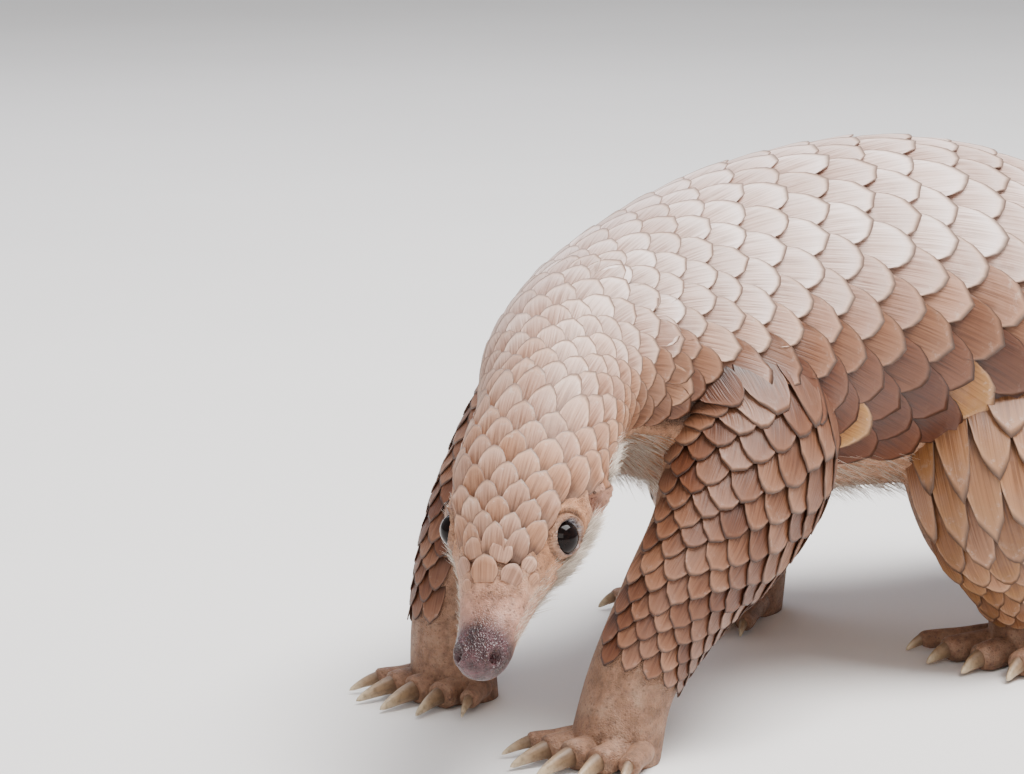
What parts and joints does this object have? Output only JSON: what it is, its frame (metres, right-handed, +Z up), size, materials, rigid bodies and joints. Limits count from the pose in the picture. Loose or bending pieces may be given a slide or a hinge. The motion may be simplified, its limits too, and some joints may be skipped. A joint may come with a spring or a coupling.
{
  "type": "pangolin",
  "caption": "Still, life-size museum model of a white-bellied pangolin with overlapping horny scales, on all fours with its head lowered and its long tail laid behind it.",
  "frame": {"origin": "on the floor, below the middle of the model's box", "axes": "+X towards the tail tip, so the animal faces -X; its left side is towards -Y; +Z up"},
  "size_m": [0.8938, 0.1806, 0.1704],
  "materials": {
    "scales": "matt horn, pinkish grey-brown, worn pale at the tips",
    "skin": "bare pink-brown skin with short pale hair",
    "eye": "wet, very dark brown",
    "claw_horn": "satin horn"
  },
  "bodies": {
    "root": {"claw_fore_left_1": "claw_horn", "claw_fore_left_2": "claw_horn", "claw_fore_left_3": "claw_horn", "claw_fore_left_4": "claw_horn", "claw_fore_left_5": "claw_horn", "claw_fore_right_1": "claw_horn", "claw_fore_right_2": "claw_horn", "claw_fore_right_3": "claw_horn", "claw_fore_right_4": "claw_horn", "claw_fore_right_5": "claw_horn", "claw_hind_left_1": "claw_horn", "claw_hind_left_2": "claw_horn", "claw_hind_left_3": "claw_horn", "claw_hind_left_4": "claw_horn", "claw_hind_left_5": "claw_horn", "claw_hind_right_1": "claw_horn", "claw_hind_right_2": "claw_horn", "claw_hind_right_3": "claw_horn", "claw_hind_right_4": "claw_horn", "claw_hind_right_5": "claw_horn", "ear_left": "skin", "ear_right": "skin", "eye_left": "eye", "eye_right": "eye", "forefoot_left": "skin", "forefoot_right": "skin", "foreleg_left": "scales", "foreleg_right": "scales", "head": "scales", "hindfoot_left": "skin", "hindfoot_right": "skin", "hindleg_left": "scales", "hindleg_right": "scales", "neck": "scales", "tail_front": "scales", "tail_middle": "scales", "tail_root": "scales", "tail_tip": "scales", "torso": "scales"}
  },
  "joints": []
}
